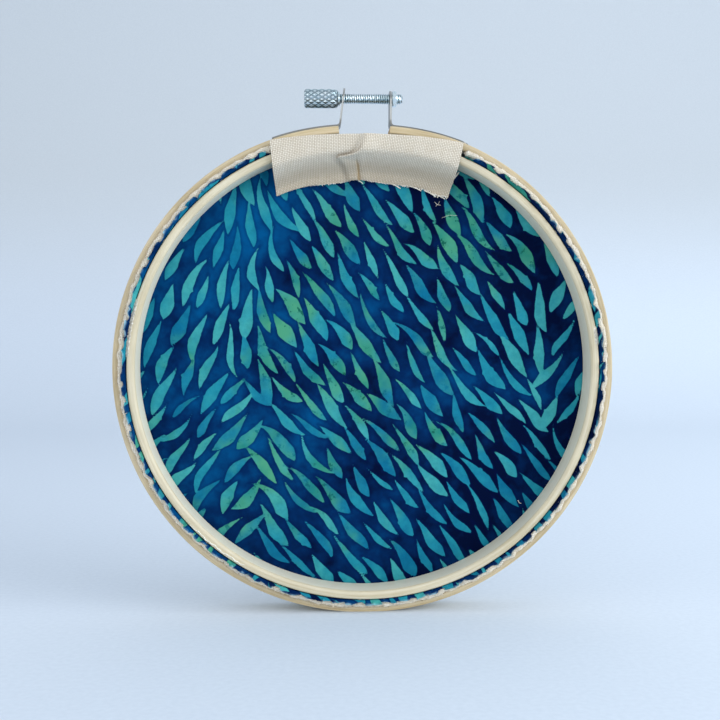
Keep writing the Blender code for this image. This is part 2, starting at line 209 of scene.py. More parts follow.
class Shader:
    """A material and its node tree, with short calls for the nodes used here."""

    def __init__(self, name, **inputs):
        self.material = bpy.data.materials.new(name)
        self.material.use_nodes = True
        self.tree = self.material.node_tree
        self.main = self.tree.nodes["Principled BSDF"]
        self.set(self.main, inputs)

    def set(self, node, inputs):
        for key, value in inputs.items():
            socket = node.inputs[key.replace("_", " ") if isinstance(key, str) else key]
            if isinstance(value, bpy.types.NodeSocket):
                self.tree.links.new(value, socket)
            else:
                socket.default_value = value

    def add(self, kind, inputs, **settings):
        node = self.tree.nodes.new("ShaderNode" + kind)
        for key, value in settings.items():
            setattr(node, key, value)
        self.set(node, inputs)
        return node

    def place(self, flat=False, scale=(1, 1, 1)):
        source = self.add("TexCoord", {}).outputs["UV" if flat else "Object"]
        return self.add("Mapping", {0: source, 3: scale}).outputs[0]

    def value(self, name):
        return self.add("Attribute", {}, attribute_name=name).outputs["Fac"]

    def noise(self, where, scale, detail=3.0, rough=0.5):
        inputs = {"Vector": where, "Scale": scale, "Detail": detail, "Roughness": rough}
        return self.add("TexNoise", inputs).outputs["Fac"]

    def math(self, operation, *values):
        return self.add("Math", dict(enumerate(values)), operation=operation).outputs[0]

    def times(self, first, second, *plus):
        """The product of two values, plus a third where there is one."""
        return self.math("MULTIPLY_ADD" if plus else "MULTIPLY", first, second, *plus)

    def between(self, value, low, high, start=0.0, end=1.0):
        """From start to end, smoothly, while the value goes from low to high."""
        inputs = {0: value, 1: low, 2: high, 3: start, 4: end}
        return self.add("MapRange", inputs, interpolation_type="SMOOTHSTEP").outputs[0]

    def mix(self, share, first, second, mode="MIX"):
        inputs = {0: share, 6: first, 7: second}
        return self.add("Mix", inputs, data_type="RGBA", blend_type=mode).outputs[2]

    def ramp(self, share, *stops):
        node = self.add("ValToRGB", {0: share})
        points = node.color_ramp.elements
        while len(points) < len(stops):
            points.new(0.5)
        for point, (at, colour) in zip(points, stops):
            point.position = at
            point.color = colour
        return node.outputs[0]

    def shaded(self, colour, share, low, high, tint):
        """The colour, multiplied by a tint where share is low and as it is where share is high."""
        shade = self.ramp(share, (low, (*tint, 1)), (high, (1, 1, 1, 1)))
        return self.mix(1.0, colour, shade, "MULTIPLY")

    def bump(self, height, strength, distance):
        inputs = {"Height": height, "Strength": strength, "Distance": distance}
        return self.add("Bump", inputs).outputs[0]

    def paint(self, colour, **inputs):
        """The finished material, with its colour and whatever else varies over it."""
        self.set(self.main, {"Base Color": colour, **inputs})
        return self.material


def wood(name, dark, middle, light, roughness):
    """Smooth bent wood: long streaks and fine pores along the ring, with painted light that makes its
    bore paler.
    """
    s = Shader(name, Roughness=roughness, Specular_IOR_Level=0.35)
    streak = s.noise(s.place(True, (0.05, 1.5, 1)), 1.0, 4.0, 0.6)
    pores = s.noise(s.place(True, (0.22, 9.0, 1)), 1.0, 3.0, 0.6)
    blotch = s.noise(s.place(False, (60, 60, 60)), 1.0, 2.0)
    grain = s.times(pores, 0.35, s.times(streak, 0.65))
    colour = s.ramp(grain, (0.30, dark), (0.48, middle), (0.66, light))
    worn = s.shaded(colour, blotch, 0.3, 0.7, (0.86, 0.85, 0.83))
    # Painted light: the bore's wall is mixed towards a pale cream, as if more light reached it.
    colour = s.mix(s.times(s.value("bore"), 0.6), worn, srgb(246, 243, 226))
    return s.paint(colour, Normal=s.bump(grain, 0.35, 0.12 * MM))


def end_grain():
    """The outer ring's two cut ends: speckled, with faint layers."""
    s = Shader("end_grain", Roughness=0.8)
    speck = s.noise(s.place(), 2600.0, 2.0)
    layer = s.noise(s.place(False, (700, 90, 90)), 1.0, 2.0)
    grain = s.times(speck, 0.5, s.times(layer, 0.5))
    colour = s.ramp(grain, (0.35, srgb(150, 120, 80)), (0.62, srgb(212, 184, 138)))
    return s.paint(colour, Normal=s.bump(speck, 0.5, 0.1 * MM))


def plain_weave(s, across, along):
    """Height of a plain weave, 0 to 1, from places counted in yarns across and along."""
    wave_a, wave_b = (s.math("SINE", s.times(way, math.pi)) for way in (across, along))
    crossing = s.math("SIGN", s.times(wave_a, wave_b))
    over = s.times(s.math("ABSOLUTE", wave_a), s.times(crossing, 0.22, 0.78))
    under = s.times(s.math("ABSOLUTE", wave_b), s.times(crossing, -0.22, 0.78))
    return s.math("MAXIMUM", over, under)


def canvas_cotton():
    """Cream canvas whose weave is in the shader, for the drum and the raw edge, with painted shade in
    the weave's hollows and in uneven patches on the trimmed edge.
    """
    s = Shader("canvas_cotton", Roughness=0.92, Sheen_Weight=0.25, Sheen_Roughness=0.5)
    split = s.add("SeparateXYZ", {0: s.place(True)}).outputs
    weave = plain_weave(s, *(s.math("DIVIDE", split[k], YARN) for k in (0, 1)))
    slub = s.noise(s.place(True, (0.3, 3.0, 1)), 1.0, 2.0)
    # Painted shade: the weave darker in its hollows and lighter on its crests.
    weave_with_painted_shade = s.ramp(weave, (0.25, srgb(190, 180, 160)), (0.85, srgb(238, 233, 222)))
    tinted = s.shaded(weave_with_painted_shade, slub, 0.3, 0.7, (0.9, 0.88, 0.84))
    # Painted shade: uneven patches of darker, warmer cream on the trimmed edge.
    colour = s.mix(s.times(s.value("painted_trim_shade"), 0.7), tinted, srgb(226, 213, 188))
    return s.paint(colour, Normal=s.bump(weave, 0.8, 0.12 * MM))


def flap_cotton():
    """The same canvas where each yarn is real: its colour follows the height of the yarn, as painted
    shade in the hollows between yarns and lighter crests.
    """
    s = Shader("flap_cotton", Roughness=0.9, Sheen_Weight=0.25, Sheen_Roughness=0.5)
    slub_a = s.noise(s.place(True, (0.25, 2.4, 1)), 1.0, 2.0)
    slub_b = s.noise(s.place(True, (2.4, 0.25, 1)), 1.0, 2.0)
    # Painted shade: the yarns darker in their hollows and lighter on their crests.
    yarn = s.ramp(s.value("height"), (0.25, srgb(165, 150, 130)), (0.6, srgb(215, 206, 189)),
                  (1.0, srgb(248, 245, 235)))
    both = s.times(slub_a, 0.5, s.times(slub_b, 0.5))
    colour = s.shaded(yarn, both, 0.35, 0.62, (0.90, 0.87, 0.83))
    # A real stained line along the lower fold, plus painted shade over the flap's lower part.
    colour = s.mix(s.value("stain_and_painted_shade"), colour, srgb(206, 178, 130), "MULTIPLY")
    # Painted shade along the tuck's crease.
    colour = s.mix(s.value("crease"), colour, srgb(140, 124, 108), "MULTIPLY")
    fine = s.noise(s.place(), 9000.0, 2.0)
    return s.paint(colour, Normal=s.bump(fine, 0.4, 0.03 * MM))


def thread_cotton(name, dark, light):
    """Loose cotton yarn with fine flecks."""
    s = Shader(name, Roughness=0.9, Sheen_Weight=0.3, Sheen_Roughness=0.4)
    fleck = s.noise(s.place(), 1500.0, 2.0)
    return s.paint(s.ramp(fleck, (0.35, dark), (0.62, light)))


def batik_cotton():
    """Dyed lining: leaf strokes left light by the wax on a mottled navy ground."""
    s = Shader("batik_cotton", Roughness=0.85, Specular_IOR_Level=0.04)
    where = s.place()
    cloud = s.noise(where, 42.0, 4.0, 0.62)
    crackle = s.noise(where, 260.0, 3.0, 0.6)
    wash = s.noise(where, 120.0, 3.0, 0.6)
    across = s.add("SeparateXYZ", {0: where}).outputs[0]
    drift = s.between(across, -50 * MM, 50 * MM, 0.05, -0.14)
    ground = s.ramp(s.math("ADD", s.times(crackle, 0.28, cloud), drift),
                    (0.44, srgb(0, 12, 46)), (0.60, srgb(0, 38, 84)), (0.84, srgb(0, 78, 130)))
    leaf = s.ramp(s.times(wash, 0.55, s.times(s.value("tone"), 0.45)),
                  (0.26, srgb(14, 108, 142)), (0.48, srgb(34, 138, 156)), (0.72, srgb(66, 162, 162)))
    leaf = s.shaded(leaf, s.noise(where, 700.0, 3.0, 0.6), 0.35, 0.65, (0.76, 0.82, 0.85))
    patch = s.math("ADD", s.noise(where, 55.0, 3.0, 0.6), s.value("green"))
    green = s.ramp(wash, (0.35, srgb(38, 128, 112)), (0.65, srgb(74, 152, 118)))
    speckle = s.between(s.noise(where, 520.0, 3.0, 0.65), 0.56, 0.66)
    green = s.mix(speckle, green, srgb(22, 92, 74))
    leaf = s.mix(s.between(patch, 0.64, 0.9), leaf, green)
    rough = s.math("SUBTRACT", s.noise(where, 900.0, 2.0), 0.5)
    line = s.times(rough, 0.34, s.value("leaf"))
    ground = s.mix(s.times(s.between(line, 0.9, 0.12), 0.35), ground, srgb(0, 14, 66))
    colour = s.mix(s.between(line, 0.10, -0.14), ground, leaf)
    torn = s.times(s.between(s.value("torn"), 0.55, 1.0), s.between(crackle, 0.35, 0.7))
    colour = s.mix(torn, colour, srgb(150, 190, 205))
    fibres = s.noise(s.place(False, (9000, 9000, 2200)), 1.0, 2.0)
    return s.paint(colour, Normal=s.bump(fibres, 0.25, 0.04 * MM))


def plated_steel(name, roughness, dark, light, deep):
    """Zinc-plated steel, with its deep colour where the "groove" value is high: painted shade in the
    grooves of the screw's rod and knob, and on the straps a darker tone that is deepest where they
    lie on the outer ring.
    """
    s = Shader(name, Metallic=1.0)
    cloud = s.noise(s.place(), 260.0, 3.0)
    fine = s.noise(s.place(), 3800.0, 2.0)
    # Painted shade: the colour turns towards the deep colour where the groove value is high.
    colour = s.mix(s.value("groove"), s.ramp(cloud, (0.3, dark), (0.7, light)), deep)
    return s.paint(colour, Roughness=s.times(cloud, 0.18, roughness),
                    Normal=s.bump(fine, 0.25, 0.03 * MM))


def ring_section(inner, outer, back, front, edge, soft):
    """Outline of a ring's section as radius and depth, its inner back corner rounded softly."""
    corners = (
        (inner + soft, back + soft, 180, soft), (outer - edge, back + edge, 270, edge),
        (outer - edge, front - edge, 0, edge), (inner + edge, front - edge, 90, edge),
    )
    line = []
    for radius, depth, start, size in corners:
        for step in range(6):
            turn = math.radians(start + 18 * step)
            line.append((radius + size * math.cos(turn), depth + size * math.sin(turn)))
    return np.array(line)


def make_ring(name, section, turns, closed, wood_material, seed, floor=None):
    """A wooden ring swept round the hoop, a little uneven, with its grain laid out flat."""
    rows, sides = len(turns), len(section)
    turn = turns[:, None]
    sway = 0.05 * MM * waves(seed, (2, 3, 5, 7), turn)
    dip = 0.06 * MM * waves(seed + 1, (3, 4, 9), turn)
    points = on_hoop(turn, section[None, :, 0] + sway, section[None, :, 1] + dip)
    if floor is not None:
        points[..., 2] = np.maximum(points[..., 2], floor)
    quads = grid(rows + closed, sides, closed=True) % (rows * sides)
    faces = quads.tolist() + ([] if closed else end_faces(rows, sides))
    # The bore's points, where the wood gets painted light.
    bore = np.tile(section[:, 0] <= section[:, 0].min() + 0.01 * MM, rows)
    piece = make_piece(name, points, faces, wood_material, values={"bore": bore})
    mesh = piece.data
    run = distances(np.concatenate((section, section[:1]))) / MM
    arc = turns * section[:, 0].mean() / MM
    arc = np.append(arc, arc[-1] + arc[1] - arc[0])
    row, column = np.divmod(np.arange(len(quads)), sides)
    flat = np.zeros((len(mesh.loops), 2), np.float32)
    flat[:quads.size, 0] = arc[np.stack((row, row, row + 1, row + 1), axis=1)].ravel()
    flat[:quads.size, 1] = run[np.stack((column, column + 1, column + 1, column), axis=1)].ravel()
    mesh.uv_layers.new(name="flat").data.foreach_set("uv", flat.ravel())
    if not closed:
        mesh.materials.append(end_grain())
        mesh.polygons[-1].material_index = 1
        mesh.polygons[-2].material_index = 1
    face_outward(mesh)
    mesh.set_sharp_from_angle(angle=math.radians(50))
    return piece


def make_rings():
    pale = wood("pale_wood_fine", srgb(194, 178, 141), srgb(213, 201, 171), srgb(226, 217, 194), 0.48)
    tan = wood("tan_wood_fine", srgb(174, 149, 108), srgb(203, 184, 146), srgb(222, 206, 176), 0.5)
    section = ring_section(INNER_BORE, INNER_OUT, BACK, FRONT, 0.4 * MM, 0.9 * MM)
    inner = make_ring("inner_hoop", section, np.linspace(0, TAU, 361)[:-1], True, pale, 11)
    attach(inner, "hoop")
    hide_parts("inner_ring")
    middle = (OUTER_OUT + OUTER_BORE) / 2
    start = math.asin(SPLIT_RIGHT / middle)
    end = TAU + math.asin(SPLIT_LEFT / middle)
    section = ring_section(OUTER_BORE, OUTER_OUT, OUTER_BACK, OUTER_FRONT, 0.35 * MM, 0.35 * MM)
    outer = make_ring("outer_hoop", section, np.linspace(start, end, 349), False, tan, 21, 0.0)
    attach(outer, "hoop")
    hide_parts("outer_ring")


def pinch(turn):
    """Where the canvas's edge bulges in over the lining's edge, 0 to 1, round the hoop."""
    return np.clip(0.22 + 0.62 * waves(71, (53, 71, 88, 107), turn), 0, 1)


# The leaf strokes' spacing along and across them and how far they reach from the middle, in mm
LEAF_PITCH = 12.2
LEAF_ROW = 4.2
LEAF_REACH = 78.0

# The lining's flat part, then radius and drop of its rim, in mm, and rows of points in its raw edge
LINING_DRUM = 62.6
LINING_RIM = ((63.3, -0.12), (63.7, -0.7), (63.75, -2.2), (63.7, -4.5), (63.6, -7.0))
LINING_LIP = 13


def under_flap(middle, half, fade):
    """1 where the flap covers a cut edge and 0 elsewhere, from its middle and reach in degrees."""
    off = np.abs(from_top(EDGE_TURN) - math.radians(middle))
    return np.clip((math.radians(half) - off) / math.radians(fade), 0, 1)


def leaf_angle(x, z):
    """Lean of the leaf strokes from upright, in radians, top to the left counted positive."""
    def step(value, low, high):
        share = np.clip((value - low) / (high - low), 0, 1)
        return share * share * (3 - 2 * share)
    high = -24 + 54 * step(x, -48, -14) + 6 * step(z, 30, -20)
    low = np.where(x < -31, -42.0, 40.0) - 4 * step(x, 0, 40)
    lean = high + (low - high) * step(z, 2, -10) * step(x, 6, -30)
    right = step(x, 47, 52) * step(np.abs(z - 2), 26, 16)
    return np.radians(lean * (1 - right) - 34 * right)


def place_leaves():
    """Centres of the leaf strokes: a brick lattice, evened out along the strokes' own lean."""
    rng = np.random.default_rng(42)
    rows = int(2 * LEAF_REACH / LEAF_ROW)
    lean = math.radians(30)
    across = np.array((math.cos(lean), math.sin(lean)))
    along = np.array((-math.sin(lean), math.cos(lean)))
    spots = np.array([
        across * i * LEAF_ROW + along * (j + 0.5 * (i % 2)) * LEAF_PITCH
        for i in range(-rows, rows) for j in range(-12, 13)])
    spots = spots[np.hypot(*spots.T) < LEAF_REACH + 4]
    spots = spots + rng.normal(0, 0.5, spots.shape)
    for _ in range(80):
        angle = leaf_angle(spots[:, 0], spots[:, 1])
        gap = spots[:, None] - spots[None]
        mean = (angle[:, None] + angle[None]) / 2
        side = gap[..., 0] * np.cos(mean) + gap[..., 1] * np.sin(mean)
        down = -gap[..., 0] * np.sin(mean) + gap[..., 1] * np.cos(mean)
        reach = np.hypot(side / LEAF_ROW, down / (LEAF_PITCH * 0.92))
        np.fill_diagonal(reach, 9)
        push = np.clip(1.12 - reach, 0, None) / (reach + 0.05)
        spots = spots + 0.22 * (push[..., None] * gap).sum(axis=1)
        spots = spots[np.hypot(*spots.T) <= LEAF_REACH + 6]
    return spots


def leaf_field(x, z):
    """Signed distance to the nearest stroke in mm, below 0 inside it, and that stroke's tone."""
    rng = np.random.default_rng(7)
    spots = place_leaves()
    angle = leaf_angle(spots[:, 0], spots[:, 1]) + np.radians(rng.normal(0, 7.5, len(spots)))
    nearest = np.full(x.shape, 9.0)
    tone = np.zeros(x.shape)
    for (cx, cz), lean in zip(spots, angle):
        half_length = rng.uniform(5.0, 7.9)
        bend = rng.normal(0.004, 0.018)
        snake = rng.normal(0.0012, 0.0015)
        widths = rng.uniform(0.95, 1.8) * rng.uniform(0.75, 1.25, 2)
        peaks = rng.uniform(-0.1, 0.5, 2)
        tips = rng.uniform(0.75, 1.15, 2)
        tails = rng.uniform(1.3, 2.8, 2)
        spur = rng.uniform(-0.3, 0.6)
        spurs = rng.uniform(0.3, 0.6) * (rng.uniform(0, 1, 2) > 0.82)
        own = rng.uniform(0, 1)
        close = np.nonzero((np.abs(x - cx) < 8.5) & (np.abs(z - cz) < 8.5))[0]
        dx = x[close] - cx
        dz = z[close] - cz
        down = dx * math.sin(lean) - dz * math.cos(lean)
        side = dx * math.cos(lean) + dz * math.sin(lean)
        side = side - bend * down ** 2 - snake * down ** 3
        run = down / half_length
        inner = np.clip(run, -1, 1)
        width = np.zeros(len(close))
        for hand in (0, 1):
            peak = peaks[hand]
            head = np.clip((inner + 1) / (peak + 1), 0, 1) ** tips[hand]
            tail = 1 - np.clip((inner - peak) / (1 - peak), 0, 1) ** tails[hand]
            one = widths[hand] * np.minimum(head, tail)
            one = one + spurs[hand] * np.clip(1 - np.abs(run - spur) / 0.09, 0, 1)
            width = np.where((side > 0) == (hand == 0), one, width)
        past_end = np.hypot(side, (np.abs(run) - 1) * half_length)
        far = np.where(np.abs(run) < 1, np.abs(side) - width, past_end)
        better = far < nearest[close]
        nearest[close[better]] = far[better]
        tone[close[better]] = own
    return nearest, tone


def disc_rings(radii, counts):
    """Angle, radius and faces of a disc's points, ring by ring, whose counts may double outwards."""
    turn = np.concatenate([np.zeros(1)] + [np.arange(count) * TAU / count for count in counts])
    radius = np.repeat([0.0, *radii], [1, *counts])
    starts = np.cumsum([1, *counts]).tolist()
    faces = [[0, 1 + k, 1 + (k + 1) % counts[0]] for k in range(counts[0])]
    for low, high, here, there in zip(starts, starts[1:], counts, counts[1:]):
        k = np.arange(here)
        after = (k + 1) % here
        if here == there:
            faces += np.stack((low + k, high + k, high + after, low + after), axis=1).tolist()
        else:
            a, b, c = high + 2 * k, high + 2 * k + 1, high + (2 * k + 2) % there
            for corners in ((low + k, a, b), (low + k, b, low + after), (low + after, b, c)):
                faces += np.stack(corners, axis=1).tolist()
    return turn, radius, faces


def make_lining():
    """The lining in one sheet: drum, rim, clamp and the crumpled raw edge between the rings."""
    drum = list(np.arange(0.5, LINING_DRUM, 0.5))
    counts = [90 if r < 8 else 180 if r < 16 else 360 if r < 32 else RIM_POINTS for r in drum]
    turn, radius, faces = disc_rings(
        drum + [r for r, _ in LINING_RIM] + [LINING_RIM[-1][0]] * LINING_LIP,
        counts + [RIM_POINTS] * len(LINING_RIM) + [EDGE_POINTS] * LINING_LIP)
    level = FRONT + 0.32 * MM
    place = on_hoop(turn, radius * MM, level)
    x, z = place[:, 0] / MM, (place[:, 2] - CENTRE_Z) / MM
    ripple = 0.10 * np.sin(x / 9 + 0.6) * np.sin(z / 11) + 0.05 * np.sin((x + z) / 4.3)
    pucker = waves(31, (60, 73, 88, 101), turn) * np.clip((radius - 52) / 11, 0, 1) ** 2
    depth = level + MM * (ripple - 0.14 * pucker) * (radius < LINING_DRUM)
    flat_radius = radius.copy()
    torn = np.zeros(len(turn))
    at = len(turn) - EDGE_POINTS * LINING_LIP - RIM_POINTS * len(LINING_RIM)
    run = drum[-1]
    for _, drop in LINING_RIM:
        run += 1.7
        depth[at:at + RIM_POINTS] = level + drop * MM
        flat_radius[at:at + RIM_POINTS] = run
        at += RIM_POINTS
    hidden = under_flap(1.2, 25.5, 1.5)
    squeezed = pinch(EDGE_TURN)
    length = 2.1 + 0.5 * waves(41, (13, 29, 47, 83, 120), EDGE_TURN)
    length = np.clip(length, 1.2, 3.0) * (1 - 0.8 * hidden) * (1 - 0.3 * squeezed)
    lean = np.clip(50 + 22 * waves(42, (31, 57, 92, 133, 171), EDGE_TURN), 8, 86)
    slide = 0.75 * waves(43, (95, 141, 160, 205), EDGE_TURN)
    lip_radius = np.full(EDGE_POINTS, 63.55)
    lip_depth = np.full(EDGE_POINTS, (BACK - level) / MM + 0.5)
    for row in range(LINING_LIP):
        share = row / (LINING_LIP - 1)
        step = length / (LINING_LIP - 1) if row else 0
        crumple = waves(44 + row // 4, (118, 150, 191, 233), EDGE_TURN)
        angle = np.radians(lean * min(share * 2.2, 1.0) * (1 - hidden))
        angle = angle + np.radians(42) * share * crumple
        lip_radius = lip_radius + step * np.sin(angle)
        lip_radius = np.clip(lip_radius, 63.45, 64.7 - 0.95 * squeezed)
        lip_depth = lip_depth - step * np.cos(angle)
        here = slice(at, at + EDGE_POINTS)
        turn[here] = EDGE_TURN + slide * share ** 1.5 / 64
        radius[here] = lip_radius
        depth[here] = level + lip_depth * MM
        flat_radius[here] = run + 1.0 + share * length
        torn[here] = share
        at += EDGE_POINTS
    flat_x = flat_radius * np.sin(turn)
    flat_z = flat_radius * OVAL * np.cos(turn)
    leaf, tone = leaf_field(flat_x, flat_z)
    green = np.exp(-((flat_x * 0.55 - flat_z * 0.35 + 3) / 30) ** 2) * 0.30
    cloth = make_piece(
        "batik_cloth", on_hoop(turn, radius * MM, depth), faces, batik_cotton(),
        np.stack((flat_x, flat_z), axis=1),
        {"leaf": leaf, "tone": tone, "green": green, "torn": torn})
    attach(cloth, "hoop")
    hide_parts("batik_lining")


# Radius and drop of the canvas's rim, in mm
CANVAS_RIM = ((63.2, 0.0), (63.9, -0.2), (64.4, -0.75), (64.6, -1.7), (64.6, -4.0), (64.6, -8.0))

# The canvas's trimmed edge: way out from the clamp and depth from the outer ring's back face, in mm
CANVAS_LIP = (
    (0.0, 0.6), (-0.12, 0.1), (-0.05, -0.35), (0.25, -0.7), (0.6, -0.88), (0.95, -0.9),
    (1.25, -0.75), (1.36, -0.5),
)


def make_canvas():
    """The canvas drum in front, its rim and clamp, and its trimmed raw edge at the back."""
    rim_points, clamp_points = EDGE_POINTS // 4, EDGE_POINTS // 2
    drum = list(np.arange(2.0, 62.5, 1.5))
    counts = [45 if r < 8 else 90 if r < 16 else 180 if r < 32 else rim_points for r in drum]
    lip = len(CANVAS_LIP)
    turn, radius, faces = disc_rings(
        drum + [r for r, _ in CANVAS_RIM] + [CLAMP_RADIUS] * (lip + 1),
        counts + [rim_points] * len(CANVAS_RIM) + [clamp_points] + [EDGE_POINTS] * lip)
    level = FRONT + 1.95 * MM
    depth = np.full(len(turn), level)
    flat_radius = radius.copy()
    at = len(turn) - EDGE_POINTS * lip - clamp_points - rim_points * len(CANVAS_RIM)
    run = drum[-1]
    for _, drop in CANVAS_RIM:
        run += 1.3
        depth[at:at + rim_points] = level + drop * MM
        flat_radius[at:at + rim_points] = run
        at += rim_points
    run += 1.5
    depth[at:at + clamp_points] = OUTER_BACK + 0.8 * MM
    flat_radius[at:at + clamp_points] = run
    at += clamp_points
    hidden = under_flap(1.25, 23.6, 0.6)
    reach = np.clip(0.86 + 0.16 * waves(51, (17, 31, 66, 110), EDGE_TURN), 0.55, 1.15)
    reach *= 1 - 0.25 * np.exp(-((EDGE_TURN - math.radians(218)) / math.radians(24)) ** 2)
    reach *= 1 - 0.95 * hidden
    bumps = waves(52, (71, 112, 163, 204), EDGE_TURN)
    sway = waves(54, (93, 131, 187), EDGE_TURN)
    bulge = (0.4 + 0.9 * pinch(EDGE_TURN)) * (1 - hidden)
    for row, (out, back) in enumerate(CANVAS_LIP):
        share = row / (lip - 1)
        here = slice(at, at + EDGE_POINTS)
        turn[here] = EDGE_TURN
        radius[here] = CLAMP_RADIUS + out * reach + 0.12 * share * sway * reach
        radius[here] -= bulge * min(4 * share, 1.3 - 1.1 * share)
        rise = back - 0.22 * share * (bumps + 0.4) * (back < 0)
        rise = np.where(hidden > 0.5, np.maximum(rise, -0.15), rise)
        depth[here] = OUTER_BACK + MM * rise
        flat_radius[here] = run + 0.5 + 1.8 * share
        at += EDGE_POINTS
    points = on_hoop(turn, radius * MM, depth)
    flat = np.stack((flat_radius * np.sin(turn), flat_radius * np.cos(turn)), axis=1)
    # Painted shade on the trimmed edge: how strongly it is tinted darker and warmer, unevenly round
    # the hoop.
    pale = np.clip(0.62 + 0.4 * waves(55, (37, 64, 101), EDGE_TURN), 0.1, 1)
    painted_trim_shade = np.zeros(len(turn))
    painted_trim_shade[-EDGE_POINTS * lip:] = np.tile(pale, lip)
    cloth = make_piece("canvas_cloth", points, faces, canvas_cotton(), flat, {"painted_trim_shade": painted_trim_shade})
    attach(cloth, "hoop")
    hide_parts("canvas")
    tip = points[-EDGE_POINTS:]
    crest = points[-EDGE_POINTS * 5:-EDGE_POINTS * 4]
    out = unit(on_hoop(EDGE_TURN, 1.0, 0.0) - on_hoop(EDGE_TURN, 0.9, 0.0))
    return crest, tip, out, 1 - hidden


def make_fluff(crest, tip, out, shown):
    """Yarn ends and fine fibres that stand out of the canvas's trimmed edge."""
    rng = np.random.default_rng(61)
    pale = thread_cotton("edge_cotton", srgb(166, 145, 116), srgb(230, 217, 195))
    for name, count, lengths, thick, spread, stray, points, sides in (
            ("edge_yarn_ends", 2400, (0.16, 0.36), 0.165, 0.4, 0.3, 4, 6),
            ("edge_fibres", 2200, (0.25, 0.8), 0.025, 0.8, 0.9, 5, 3)):
        pick = np.arange(count) * EDGE_POINTS / count + rng.uniform(-0.4, 0.4, count)
        pick = pick.astype(int) % EDGE_POINTS
        pick = pick[shown[pick] > 0.7]
        share = rng.uniform(0.1, 1, (len(pick), 1))
        start = crest[pick] + (tip[pick] - crest[pick]) * share
        start = start + rng.normal(0, 0.05 * MM, start.shape)
        way = out[pick] * 0.8 + np.array((0, -0.75, 0)) + rng.normal(0, spread, start.shape)
        curl = rng.normal(0, stray, start.shape)
        length = rng.uniform(*lengths, len(pick))[:, None, None] * MM
        run = np.linspace(0, 1, points)
        along = run[None, :, None]
        paths = start[:, None] + length * (unit(way)[:, None] * along + curl[:, None] * along ** 2)
        paths[..., 1] = np.minimum(paths[..., 1], OUTER_BACK - thick * MM)
        radii = thick * MM * rng.uniform(0.7, 1.2, (len(pick), 1)) * (1 - 0.6 * run[None] ** 3)
        fluff = make_piece(name, *tube_mesh(paths, radii, sides), pale)
        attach(fluff, "hoop")


# The flap's yarns across and down, and grid points for each yarn
FLAP_ACROSS = 112
FLAP_DOWN = 46
YARN_POINTS = 4

# The flap's width and length, in mm, that its folds are measured by
FLAP_WIDTH = 50
FLAP_LENGTH = 25

# Way inwards from the clamp and depth from the inner ring's back face, in mm
FLAP_BEND = ((0.0, 0.9), (-1.2, 0.35), (-2.0, 0.1), (-2.3, -0.35), (-1.9, -0.8), (-0.8, -1.1))
FLAP_PATH = (
    (1.2, -1.2), (2.6, -1.24), (3.9, -1.1), (4.7, -0.72), (5.6, 0.35), (6.8, 2.3), (8.1, 4.7),
    (9.4, 6.6), (11.0, 7.8),
)

# The flap's cut edge: across the hoop, over its centre, and depth as above, in mm
FLAP_EDGE = (
    (-24.1, 50.5, 8.2), (-21.0, 49.8, 8.5), (-17.8, 49.8, 8.4), (-13.0, 50.0, 8.2),
    (-9.6, 50.1, 8.1), (-5.0, 50.9, 8.4), (-2.0, 51.9, 8.4), (1.0, 51.3, 8.2), (4.3, 50.6, 8.1),
    (7.0, 50.4, 8.4), (9.9, 50.0, 8.4), (13.5, 49.6, 8.3), (16.8, 48.9, 8.3), (19.8, 47.3, 8.0),
    (23.2, 46.7, 7.9),
)
FLAP_LEFT = math.radians(-22.7)
FLAP_RIGHT = math.radians(23.5)

# The tuck's line and the stained crease below it: share of the way down and of the width
TUCK_LINE = (
    (0.0, 0.480), (0.17, 0.479), (0.22, 0.478), (0.30, 0.472), (0.36, 0.458), (0.41, 0.435),
    (0.44, 0.40), (0.46, 0.358), (0.5, 0.354), (0.6, 0.372), (0.75, 0.395), (1.0, 0.42),
)
STAIN_LINE = ((0.0, 0.46), (0.5, 0.456), (0.65, 0.468), (1.0, 0.486))


def flap_sheet(s, t, rng):
    """The flap as a smooth sheet, in mm: clamp, bend, inner ring and fall to the cut edge."""
    edge = np.array(FLAP_EDGE)
    turn = FLAP_LEFT + s * (FLAP_RIGHT - FLAP_LEFT)
    base = on_hoop(turn, CLAMP_RADIUS * MM, 0.0) / MM - np.array((0, 0, CENTRE_Z / MM))
    edge_x = edge[0, 0] + s * (edge[-1, 0] - edge[0, 0])
    edge_z = np.interp(edge_x, edge[:, 0], edge[:, 1])
    edge_y = np.interp(edge_x, edge[:, 0], edge[:, 2])
    ragged = np.append(np.repeat(rng.normal(0, 0.14, FLAP_ACROSS), YARN_POINTS), 0.0)
    edge_z = edge_z + ragged * np.clip((edge_x - 2) / 18, 0.35, 1.0)
    way = np.stack((edge_x - base[:, 0], edge_z - base[:, 2]), axis=1)
    length = np.linalg.norm(way, axis=1)
    way = unit(way)
    slant = np.clip((way * unit(-base[:, [0, 2]])).sum(axis=1), 0.75, 1.0)
    places = np.zeros((len(t), len(s), 3))
    for k in range(len(s)):
        bulge = ((s[k] - 0.5) / 0.5) ** 2
        line = [(run * bulge + 0.05 * number, depth)
                for number, (run, depth) in enumerate(FLAP_BEND)]
        line += [(run / slant[k], depth) for run, depth in FLAP_PATH]
        line.append((length[k], edge_y[k]))
        run, depth = smooth_line(line, len(t)).T
        places[:, k, 0] = base[k, 0] + way[k, 0] * run
        places[:, k, 1] = depth
        places[:, k, 2] = base[k, 2] + way[k, 1] * run
    return places


